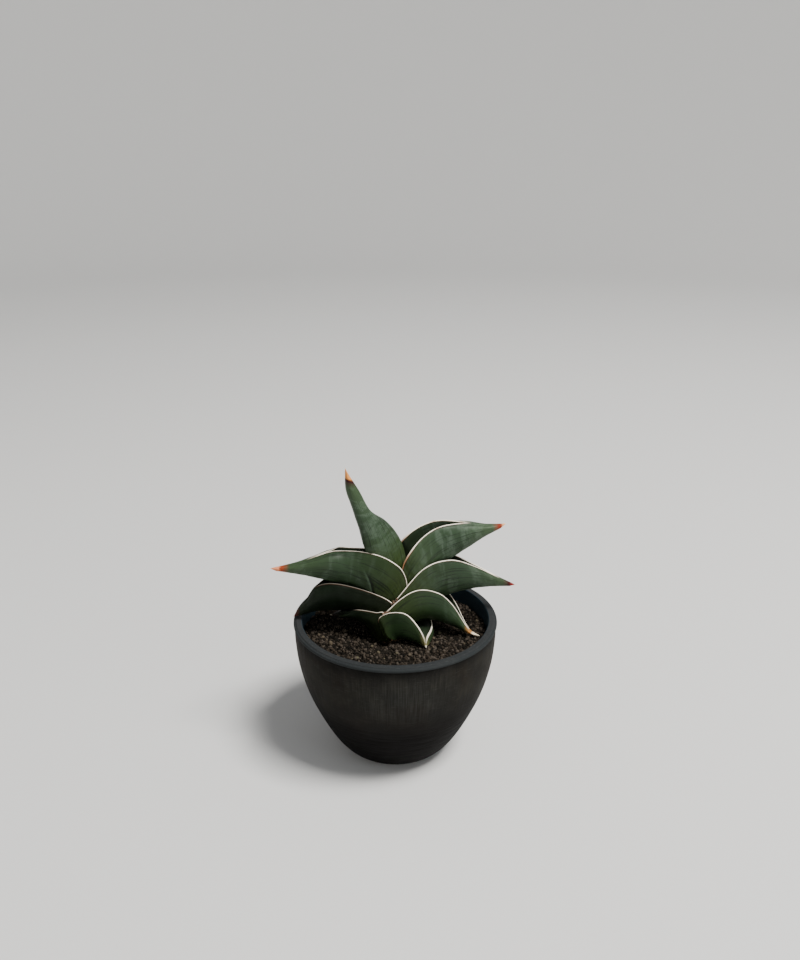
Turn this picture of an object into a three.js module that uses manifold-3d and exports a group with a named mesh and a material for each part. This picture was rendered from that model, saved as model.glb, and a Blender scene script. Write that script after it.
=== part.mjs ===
// Potted Sansevieria rorida: two ranks of boat-shaped leaves on a short rootstock,
// planted in a round dark bowl pot filled with fine dark grit.
// Millimetres, +Z up. The origin is the centre of the pot's flat base.
// The fan of leaves is seen broadside from -Y.

import * as THREE from "three";
import { mergeVertices } from "three/addons/utils/BufferGeometryUtils.js";
import Module from "manifold-3d";

const wasm = await Module();
wasm.setup();

// Clearance between neighbouring pieces
const GAP = 0.3;

// Pot: outer radius against height, then the rim
const POT_SIDE = [
  [26, 0],
  [33.7, 6],
  [40.5, 15.5],
  [47.7, 29.5],
  [54, 45],
  [58.1, 61],
  [59.7, 75],
  [59.8, 83.6],
];
const POT_HEIGHT = 87;
const POT_WALL = 4.5;
const POT_FLOOR = 5;
const POT_SEGMENTS = 60;
const RIM_INNER_RADIUS = 55.5;
const COLLAR_RADIUS = 60.5;
const COLLAR_HEIGHT = 2.2;
const DRAIN = { count: 4, radius: 3, ringRadius: 15, sides: 16 };

// Soil: level under the rim, and the waves and grit that roughen its top
const SOIL_LEVEL = 76.9;
const SOIL_SEGMENTS = 56;
const SOIL_RING_PITCH = 3.6;
const SOIL_WAVE = 0.3;
const SOIL_GRIT = 0.5;

// Rootstock: a crown that carries the outer leaves, a core that carries the inner ones,
// and thick roots below
const CROWN = {
  centre: -3,
  squeeze: 0.8,
  profile: [
    [0, 54],
    [9, 56],
    [13, 63],
    [14.6, 72],
    [14.6, 76.8],
    [13.6, 78],
    [0, 78],
  ],
};
const CORE = {
  centre: 2,
  squeeze: 0.6,
  profile: [
    [0, 76],
    [10.4, 76],
    [10.4, 84],
    [9.2, 87],
    [9, 91],
    [7.6, 93],
    [7, 96],
    [0, 97],
  ],
};
const ROOT = { count: 6, reach: 38, depth: 42, thickRadius: 2.6, thinRadius: 1, sides: 6, steps: 6 };

// Leaves: section shape shared by all
const MARGIN = 1.1;
const WIDEST = 0.35;
const STATIONS = 18;
const BELLY_STEPS = 4;
const LIP_STEPS = 2;
const CHANNEL_STEPS = 3;

// Each leaf starts at its foot (x, y) and runs out along its azimuth, which turns by
// turn degrees over its length. Crest is the level of the channel's margins and keel is
// the leaf's back: pairs of reach and height. Half-width, mouth (part of it that the
// channel is open), channel (depth, part of the leaf's), roll (degrees about the keel,
// near margin up) and droop (how far the far margin hangs lower) are taken at the same
// seven stations, foot to tip. Fullness squares the belly. Outermost leaf first.
const LEAVES = [
  {
    name: "leaf_right_1",
    azimuth: -8,
    turn: -70,
    foot: [-7, 0],
    crest: [[8, 79], [6, 92.6], [11.2, 97.1], [19.8, 99.2], [25.4, 96.9], [31, 89.6], [36.4, 78.8]],
    keel: [[12, 79], [14, 79.3], [17, 79.2], [20, 78.8], [27, 78.6], [32, 78.3], [36, 78.2]],
    halfWidth: [16.6, 19.2, 19.8, 15.6, 9.8, 4.6, 0.5],
    mouth: [1, 1, 1, 1, 0.9, 0.8, 0.4],
    channel: [0.88, 0.86, 0.8, 0.7, 0.6, 0.35, 0.1],
    roll: [0, 0, 0, 0, 0, 0, 0],
    droop: [-9.4, -0.7, 8.3, 15.6, 15, 8, 0],
    fullness: 3,
  },
  {
    name: "leaf_left_1",
    azimuth: 188,
    turn: 0,
    foot: [-5, 0],
    crest: [[-1, 80], [3, 96.3], [8.6, 95.9], [18, 96.1], [24.1, 93.2], [28, 91.2], [34, 90]],
    keel: [[12, 80], [13, 82], [15, 84], [18, 86], [23, 88], [29, 88.8], [33.8, 89.4]],
    halfWidth: [18.6, 17.8, 14.6, 11, 7.6, 4.1, 0.4],
    mouth: [1, 1, 1, 0.95, 0.7, 0.3, 0.2],
    channel: [0.88, 0.86, 0.8, 0.6, 0.4, 0.1, 0.02],
    roll: [0, 1, 3, 5, 7, 5, 0],
  },
  {
    name: "leaf_right_2",
    azimuth: -4,
    turn: -12,
    foot: [-4, 0],
    crest: [[-5, 82], [1.9, 99.6], [16.4, 108.2], [29.3, 104.9], [38.1, 96.6], [47.8, 82.5], [55, 78.5]],
    keel: [[13, 81], [15, 84], [21, 86], [29, 85.5], [39, 82.5], [47, 79.5], [54.6, 78]],
    halfWidth: [16.6, 17.2, 14.9, 10.9, 6.3, 2.6, 0.4],
    mouth: [1, 1, 0.97, 0.9, 0.8, 0.4, 0.2],
    channel: [0.88, 0.86, 0.8, 0.65, 0.45, 0.1, 0.02],
    roll: [16, 0, 6, 13, 16, 11, 0],
  },
  {
    name: "leaf_left_2",
    azimuth: 184,
    turn: 0,
    foot: [-1, 0],
    crest: [[-6, 84], [1.6, 100], [13.7, 107.2], [33.3, 111.7], [45.2, 108.9], [52, 99.3], [60, 89]],
    keel: [[10, 83], [12, 87], [19, 91], [30, 92.3], [44, 92], [52, 90], [59.6, 88.2]],
    halfWidth: [15.5, 15.9, 12.8, 9.9, 6.4, 3.3, 0.4],
    mouth: [1, 1, 0.95, 0.8, 0.2, 0.2, 0.2],
    channel: [0.88, 0.86, 0.8, 0.6, 0.02, 0.02, 0.02],
    roll: [11, 6, 4, 4, -4, -4, 0],
  },
  {
    name: "leaf_right_3",
    azimuth: 6,
    turn: 0,
    foot: [0, 0],
    crest: [
      [-4, 86],
      [-0.6, 103.8],
      [14.9, 120.8],
      [30.5, 123.7],
      [47.3, 116.6],
      [61.7, 109],
      [72.5, 103.5],
    ],
    keel: [[10, 85], [14, 90], [21, 95.5], [33, 100], [52, 103], [62, 103.2], [72, 102.8]],
    halfWidth: [12.9, 14.3, 12, 8.2, 4.9, 2.5, 0.4],
    mouth: [1, 1, 0.95, 0.85, 0.45, 0.3, 0.2],
    channel: [0.88, 0.86, 0.8, 0.6, 0.2, 0.05, 0.02],
    roll: [28, 2, 2, 4, 10, 7, 0],
    droop: [0, 0, 0, 0, -1.1, -0.7, 0],
  },
  {
    name: "leaf_left_3",
    azimuth: 184,
    turn: 0,
    foot: [2, 0],
    crest: [[-5, 90], [-3.3, 116.1], [6, 128.2], [29.1, 129], [39.9, 129.7], [59.1, 123.9], [75, 120.5]],
    keel: [[8, 87], [11, 93], [17, 99.5], [28, 106.5], [45, 112.7], [61, 116.9], [74.5, 119.3]],
    halfWidth: [10.2, 12.3, 13.4, 10.6, 6.7, 3.4, 0.4],
    mouth: [1, 1, 0.95, 0.8, 0.2, 0.2, 0.2],
    channel: [0.88, 0.86, 0.8, 0.6, 0.02, 0.02, 0.02],
    roll: [0, 2, 2, 19, 5, 0, 0],
    droop: [0, 0, 5, -0.6, -1.4, 0, 0],
  },
  {
    name: "leaf_right_4",
    azimuth: 9,
    turn: 0,
    foot: [3, 0],
    crest: [[-3, 94], [-1.5, 116.9], [3.1, 133.9], [20.4, 143], [38.6, 144.5], [51.3, 142.6], [63, 142.4]],
    keel: [[7, 93], [9, 101], [15, 110], [25, 119], [41, 129.3], [52, 136], [62.8, 141.1]],
    halfWidth: [8.4, 9.7, 9.5, 6.9, 5.4, 3.2, 0.4],
    mouth: [1, 1, 0.95, 0.8, 0.2, 0.2, 0.2],
    channel: [0.88, 0.86, 0.8, 0.6, 0.02, 0.02, 0.02],
    roll: [-13, -1, -6, 5, 1, 0, 0],
    droop: [0, 0, 0, -1.6, -1.6, -0.4, 0],
  },
  {
    name: "leaf_centre",
    azimuth: 195,
    turn: 0,
    foot: [3, -2],
    crest: [
      [-2.1, 100],
      [-2.2, 117.5],
      [-1.9, 134.2],
      [4.2, 146.6],
      [14.6, 155.6],
      [22.6, 169.1],
      [30, 181],
    ],
    keel: [
      [4.5, 98.1],
      [9.8, 112.7],
      [17.6, 126.7],
      [21.3, 141.9],
      [25.6, 156.8],
      [29.6, 169.8],
      [31.6, 184.6],
    ],
    halfWidth: [5.5, 6.8, 8, 6.8, 4.9, 3.9, 0.8],
    mouth: [0.9, 0.9, 0.85, 0.75, 0.2, 0.2, 0.2],
    channel: [0.6, 0.6, 0.6, 0.6, 0.02, 0.02, 0.02],
    roll: [0, 15, 35, 48, 50, 50, 50],
  },
];

// Finishes
const MATERIALS = {
  pot: new THREE.MeshStandardMaterial({ color: 0x2b2b2c, roughness: 0.62, metalness: 0 }),
  soil: new THREE.MeshStandardMaterial({ color: 0x2e2720, roughness: 0.95, metalness: 0 }),
  rootstock: new THREE.MeshStandardMaterial({ color: 0x5c4a36, roughness: 0.8, metalness: 0 }),
  leaf: new THREE.MeshStandardMaterial({ color: 0x4a6a4c, roughness: 0.5, metalness: 0 }),
};

// Solids

function solidFrom(geometry) {
  const bare = geometry.clone();
  bare.deleteAttribute("normal");
  bare.deleteAttribute("uv");
  const merged = mergeVertices(bare, 1e-4);
  const vertProperties = merged.attributes.position.array;
  const triVerts = new Uint32Array(merged.index.array);
  return new wasm.Manifold(new wasm.Mesh({ numProp: 3, vertProperties, triVerts }));
}

function geometryFrom(solid) {
  const mesh = solid.getMesh();
  const geometry = new THREE.BufferGeometry();
  geometry.setAttribute("position", new THREE.BufferAttribute(mesh.vertProperties, 3));
  geometry.setIndex(new THREE.BufferAttribute(mesh.triVerts, 1));
  const faceted = geometry.toNonIndexed();
  faceted.computeVertexNormals();
  return faceted;
}

// Keeps the largest body, where a cut leaves a loose sliver
function largestBody(solid) {
  const bodies = solid.decompose();
  return bodies.reduce((a, b) => (b.volume() > a.volume() ? b : a));
}

// Triangles of a flat outline, wound the way that the outline runs
function capFaces(outline) {
  const faces = THREE.ShapeUtils.triangulateShape(outline, []);
  return THREE.ShapeUtils.isClockWise(outline) ? faces.map(([a, b, c]) => [a, c, b]) : faces;
}

// Skins rings of points of equal number, with a flat cap at each end cut from its outline
function loft(rings, firstOutline, lastOutline, inward) {
  const count = rings[0].length;
  const positions = rings.flat().flatMap((p) => [p.x, p.y, p.z]);
  const faces = [];
  const face = (a, b, c) => faces.push(...(inward ? [a, c, b] : [a, b, c]));
  for (let i = 0; i < rings.length - 1; i++) {
    for (let j = 0; j < count; j++) {
      const a = i * count + j;
      const b = i * count + ((j + 1) % count);
      face(a, b, b + count);
      face(a, b + count, a + count);
    }
  }
  const last = (rings.length - 1) * count;
  for (const [a, b, c] of capFaces(firstOutline)) {
    face(c, b, a);
  }
  for (const [a, b, c] of capFaces(lastOutline)) {
    face(last + a, last + b, last + c);
  }
  const geometry = new THREE.BufferGeometry();
  geometry.setAttribute("position", new THREE.Float32BufferAttribute(positions, 3));
  geometry.setIndex(faces);
  return geometry;
}

function lathe(profile, segments) {
  const points = profile.map(([r, z]) => new THREE.Vector2(r, z));
  return new THREE.LatheGeometry(points, segments).rotateX(Math.PI / 2);
}

function circle(count, point) {
  return Array.from({ length: count }, (_, i) => point((2 * Math.PI * i) / count));
}

// Pot

const potSide = new THREE.SplineCurve(POT_SIDE.map(([r, z]) => new THREE.Vector2(r, z)));
const outside = potSide.getPoints(12).map((p) => [p.x, p.y]);
const wallInside = outside
  .filter(([, z], i) => i % 2 && z > POT_FLOOR && z < POT_HEIGHT - 6)
  .map(([r, z]) => [r - POT_WALL, z]);
const inside = [[wallInside[0][0] - 3, POT_FLOOR], ...wallInside];

function innerRadius(z) {
  const above = inside.findIndex((p) => p[1] >= z);
  const i = above < 0 ? inside.length - 1 : Math.max(above, 1);
  const [[r0, z0], [r1, z1]] = [inside[i - 1], inside[i]];
  return THREE.MathUtils.mapLinear(Math.min(z, z1), z0, z1, r0, r1);
}

function pot() {
  const collarTop = POT_HEIGHT - 0.6;
  const collarMiddle = collarTop - COLLAR_HEIGHT / 2;
  const rim = [
    [COLLAR_RADIUS - 0.3, collarTop - COLLAR_HEIGHT],
    [COLLAR_RADIUS, collarMiddle],
    [COLLAR_RADIUS - 0.3, collarTop],
    [COLLAR_RADIUS - 1, collarTop],
    [COLLAR_RADIUS - 1.3, POT_HEIGHT],
    [RIM_INNER_RADIUS + 0.5, POT_HEIGHT],
    [RIM_INNER_RADIUS, POT_HEIGHT - 0.5],
  ];
  const profile = [[0, 0], ...outside, ...rim, ...inside.toReversed(), [0, POT_FLOOR]];
  const shell = solidFrom(lathe(profile, POT_SEGMENTS));
  return circle(DRAIN.count, (angle) => {
    const hole = new THREE.CylinderGeometry(DRAIN.radius, DRAIN.radius, 4 * POT_FLOOR, DRAIN.sides);
    hole.rotateX(Math.PI / 2);
    hole.translate(DRAIN.ringRadius * Math.cos(angle), DRAIN.ringRadius * Math.sin(angle), 0);
    return solidFrom(hole);
  }).reduce((solid, hole) => solid.subtract(hole), shell);
}

// Rootstock, thickened by grow where it is used to cut its own room

function taperedRoot(angle, length, grow) {
  const direction = new THREE.Vector3(Math.cos(angle), Math.sin(angle), 0);
  const start = new THREE.Vector3(CROWN.centre, 0, 64);
  const path = new THREE.QuadraticBezierCurve3(
    start,
    start.clone().addScaledVector(direction, 0.7 * length),
    start.clone().addScaledVector(direction, length).setZ(64 - ROOT.depth),
  );
  const side = new THREE.Vector3(-direction.y, direction.x, 0);
  const rings = Array.from({ length: ROOT.steps + 1 }, (_, i) => {
    const t = i / ROOT.steps;
    const centre = path.getPoint(t);
    const across = side.clone().cross(path.getTangent(t));
    const radius = THREE.MathUtils.lerp(ROOT.thickRadius, ROOT.thinRadius, t) + grow;
    return circle(ROOT.sides, (a) =>
      centre
        .clone()
        .addScaledVector(side, radius * Math.cos(a))
        .addScaledVector(across, radius * Math.sin(a)),
    );
  });
  const outline = circle(ROOT.sides, (a) => new THREE.Vector2(Math.cos(a), Math.sin(a)));
  return solidFrom(loft(rings, outline, outline, true));
}

function swollen({ centre, squeeze, profile }, grow, segments) {
  const grown = profile.map(([r, z], i) => [
    r === 0 ? 0 : r + grow,
    z + (i < profile.length / 2 ? -grow : grow),
  ]);
  return solidFrom(lathe(grown, segments).scale(squeeze, 1, 1).translate(centre, 0, 0));
}

function rootstock(grow) {
  const crown = swollen(CROWN, grow, 32).add(swollen(CORE, grow, 24));
  return circle(ROOT.count, (angle) => {
    const length = ROOT.reach * (0.8 + 0.2 * Math.sin(5 * angle + 1));
    return taperedRoot(angle + 0.4, length, grow);
  }).reduce((solid, root) => solid.add(root), crown);
}

// Soil

const scatter = (a, b) =>
  2 * THREE.MathUtils.euclideanModulo(Math.sin(12.9 * a + 78.2 * b) * 43758.5, 1) - 1;

function soilHeight(x, y) {
  const wave = Math.sin(0.3 * x + 0.2 * y) + Math.sin(0.2 * x - 0.35 * y + 2);
  return SOIL_LEVEL + 0.5 * SOIL_WAVE * wave + SOIL_GRIT * scatter(x, y);
}

function soil() {
  const sideRadius = (z) => innerRadius(z) - 3 * GAP;
  const bends = inside.slice(1).map(([, z]) => z).filter((z) => z < SOIL_LEVEL - 3);
  const side = [POT_FLOOR + GAP, ...bends, SOIL_LEVEL - 1].map((z) =>
    circle(SOIL_SEGMENTS, (a) => new THREE.Vector3(Math.cos(a), Math.sin(a), 0)
      .multiplyScalar(sideRadius(z))
      .setZ(z)),
  );
  const edge = sideRadius(SOIL_LEVEL - 1);
  const top = [];
  for (let r = edge - 1; r > 4; r -= SOIL_RING_PITCH) {
    top.push(circle(SOIL_SEGMENTS, (a) => {
      const reach = r + (top.length ? 0.25 * SOIL_RING_PITCH * scatter(r, a) : 0);
      const [x, y] = [reach * Math.cos(a), reach * Math.sin(a)];
      return new THREE.Vector3(x, y, soilHeight(x, y));
    }));
  }
  const outline = circle(SOIL_SEGMENTS, (a) => new THREE.Vector2(Math.cos(a), Math.sin(a)));
  return solidFrom(loft([...side, ...top], outline, outline, false));
}

// Leaves

const blend = (values, t) =>
  new THREE.SplineCurve(values.map((v) => new THREE.Vector2(v, 0))).getPoint(t).x;

const along = (pairs, t) =>
  new THREE.SplineCurve(pairs.map(([s, z]) => new THREE.Vector2(s, z))).getPoint(t);

function azimuthAt(leaf, reach) {
  const whole = leaf.crest.at(-1)[0];
  return THREE.MathUtils.degToRad(leaf.azimuth + (leaf.turn * reach) / whole);
}

// The leaf's midline seen from above is an arc that leaves the foot along the azimuth
function placed(leaf, reach, z) {
  const start = azimuthAt(leaf, 0);
  const end = azimuthAt(leaf, reach);
  const [x, y] = leaf.foot;
  if (leaf.turn === 0) {
    return new THREE.Vector3(x + reach * Math.cos(start), y + reach * Math.sin(start), z);
  }
  const radius = reach / (end - start || 1);
  return new THREE.Vector3(
    x + radius * (Math.sin(end) - Math.sin(start)),
    y + radius * (Math.cos(start) - Math.cos(end)),
    z,
  );
}

// Half of the section, from the keel round the belly to the margin and, unless the
// section is filled, down into the channel: x across the leaf, y down from its crest
function halfSection(halfWidth, depth, mouth, channel, fullness, filled) {
  const quarter = Math.PI / 2;
  const points = [];
  for (let i = 0; i <= BELLY_STEPS; i++) {
    const a = (quarter * i) / BELLY_STEPS;
    const out = Math.sin(a) ** (2 / fullness);
    const down = Math.max(Math.cos(a), 0) ** (2 / fullness);
    points.push(new THREE.Vector2(halfWidth * out, depth * (WIDEST + (1 - WIDEST) * down)));
  }
  for (let i = 1; i <= LIP_STEPS; i++) {
    const a = (quarter * i) / LIP_STEPS;
    const across = mouth + (halfWidth - mouth) * Math.cos(a);
    points.push(new THREE.Vector2(across, depth * WIDEST * (1 - Math.sin(a))));
  }
  if (filled) return points;
  const inner = Math.max(mouth - MARGIN, 0.45 * mouth);
  const bead = -0.25 * Math.min(1, halfWidth / 3);
  points.push(new THREE.Vector2((mouth + inner) / 2, bead));
  for (let i = 0; i < CHANNEL_STEPS; i++) {
    const a = (quarter * i) / CHANNEL_STEPS;
    points.push(new THREE.Vector2(inner * Math.cos(a) ** 0.9, channel * Math.sin(a)));
  }
  return points;
}

// One ring of the leaf at station t, and its flat outline for the end caps
function leafRing(leaf, t, grow, filled) {
  const crest = along(leaf.crest, t);
  const keel = along(leaf.keel, t);
  const top = placed(leaf, crest.x, crest.y);
  const down = placed(leaf, keel.x, keel.y).sub(top);
  const depth = Math.max(down.length(), 0.8);
  down.normalize();
  const azimuth = azimuthAt(leaf, (crest.x + keel.x) / 2);
  const rank = Math.cos(THREE.MathUtils.degToRad(leaf.azimuth)) > 0 ? -1 : 1;
  const near = new THREE.Vector3(-Math.sin(azimuth), Math.cos(azimuth), 0).multiplyScalar(rank);
  near.addScaledVector(down, -near.dot(down)).normalize();
  const roll = THREE.MathUtils.degToRad(blend(leaf.roll, t));
  const across = near.clone().multiplyScalar(Math.cos(roll)).addScaledVector(down, -Math.sin(roll));
  top.addScaledVector(down, depth);
  down.multiplyScalar(Math.cos(roll)).addScaledVector(near, Math.sin(roll));
  top.addScaledVector(down, -depth - grow);

  const fullness = leaf.fullness ?? 2;
  const droop = leaf.droop ? blend(leaf.droop, t) : 0;
  const halfWidth = Math.max(blend(leaf.halfWidth, t), 0.4) + grow;
  const mouth = Math.max(Math.min(blend(leaf.mouth, t), 0.97) * halfWidth, 0.15);
  const channel = Math.max(blend(leaf.channel, t) * depth, 0.05);
  const whole = depth + 2 * grow;
  const half = halfSection(halfWidth, whole, mouth, channel, fullness, filled);
  const bottom = new THREE.Vector2(0, filled ? -grow : channel);
  const far = half.slice(1).reverse().map((p) => {
    const drop = droop * (p.x / halfWidth) * Math.max(1 - p.y / whole, 0);
    return new THREE.Vector2(-p.x, p.y + drop);
  });
  const outline = [...half, bottom, ...far];
  const points = outline.map((p) =>
    top.clone().addScaledVector(across, p.x).addScaledVector(down, p.y),
  );
  return { points, outline };
}

function leafSolid(leaf, grow = 0, filled = false) {
  const rings = Array.from({ length: STATIONS + 1 }, (_, i) =>
    leafRing(leaf, i / STATIONS, grow, filled),
  );
  const first = rings[0].outline;
  const last = rings.at(-1).outline;
  const rightRank = Math.cos(THREE.MathUtils.degToRad(leaf.azimuth)) > 0;
  return solidFrom(loft(rings.map((r) => r.points), first, last, rightRank));
}

// Assembly

const group = new THREE.Group();

function place(name, solid, material) {
  const mesh = new THREE.Mesh(geometryFrom(solid), material);
  mesh.name = name;
  group.add(mesh);
}

place("pot", pot(), MATERIALS.pot);
place("soil", soil().subtract(rootstock(GAP)), MATERIALS.soil);
place("rootstock", rootstock(0), MATERIALS.rootstock);

// Every leaf gives way to the rootstock and to the younger leaves that it clasps
let taken = rootstock(GAP);
for (const leaf of [...LEAVES].reverse()) {
  place(leaf.name, largestBody(leafSolid(leaf).subtract(taken)), MATERIALS.leaf);
  taken = taken.add(leafSolid(leaf, GAP, true));
}

export default group;
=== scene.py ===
"""Potted Sansevieria rorida: finer leaves, pot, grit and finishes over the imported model.

Lengths in the tables are in millimetres, in the part's own frame: +Z up, the origin at
the centre of the pot's flat base, the fan of leaves seen broadside from -Y.
"""

import math
import random

import bmesh
import bpy
from bpy.props import FloatProperty, FloatVectorProperty, IntProperty, PointerProperty
from mathutils import Matrix, Vector, noise


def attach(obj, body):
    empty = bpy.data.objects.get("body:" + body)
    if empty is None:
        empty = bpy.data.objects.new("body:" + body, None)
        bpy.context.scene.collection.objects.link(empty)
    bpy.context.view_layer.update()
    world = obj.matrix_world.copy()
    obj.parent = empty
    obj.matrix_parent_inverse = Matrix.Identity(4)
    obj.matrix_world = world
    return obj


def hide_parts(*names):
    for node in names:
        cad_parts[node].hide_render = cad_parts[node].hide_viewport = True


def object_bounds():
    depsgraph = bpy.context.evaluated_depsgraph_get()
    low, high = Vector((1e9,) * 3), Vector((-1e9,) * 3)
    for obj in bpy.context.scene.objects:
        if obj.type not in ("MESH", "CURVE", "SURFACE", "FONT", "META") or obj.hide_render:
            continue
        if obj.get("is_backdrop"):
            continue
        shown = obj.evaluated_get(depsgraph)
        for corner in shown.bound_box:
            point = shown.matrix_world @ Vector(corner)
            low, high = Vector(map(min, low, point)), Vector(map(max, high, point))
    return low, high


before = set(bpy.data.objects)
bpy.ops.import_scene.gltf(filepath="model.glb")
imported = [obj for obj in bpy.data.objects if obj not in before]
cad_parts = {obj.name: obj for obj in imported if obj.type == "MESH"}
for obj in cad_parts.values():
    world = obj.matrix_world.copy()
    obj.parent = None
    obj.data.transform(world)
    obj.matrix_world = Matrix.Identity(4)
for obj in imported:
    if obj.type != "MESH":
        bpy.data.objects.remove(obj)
CAD_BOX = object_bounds()

bl_info = {
    "name": "Potted Sansevieria",
    "version": (1, 0, 0),
    "blender": (4, 5, 0),
    "location": "3D View > Sidebar > Plant",
    "description": "Builds a potted Sansevieria rorida: pot, grit, rootstock and leaves",
    "category": "Add Mesh",
}

MM = 0.001
COLOUR = "NodeSocketColor"
VALUE = "NodeSocketFloat"

# Pot: outer radius against height, the collar's section (its centre and two radii), the
# radius of the rim's inner edge, and the wall's thickness and the heights its inside spans
POT_SIDE = [(26, 0), (33.7, 6), (40.5, 15.5), (47.7, 29.5), (54, 45), (58.1, 61), (59.7, 75), (59.8, 83.6)]
COLLAR_CENTRE = (59.55, 85.28)
COLLAR_RADII = (0.95, 1.08)
RIM_EDGE = 0.6
POT_WALL = 4.5
INNER_WALL = (8, 81)
SIDE_STEPS = 72
COLLAR_STEPS = 12
RIM_STEPS = 6

# Drain holes: their number, how far out they lie and their radius
DRAIN_HOLES = 4
DRAIN_REACH = 15
DRAIN_RADIUS = 3
MERGE_DISTANCE = 0.002

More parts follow.
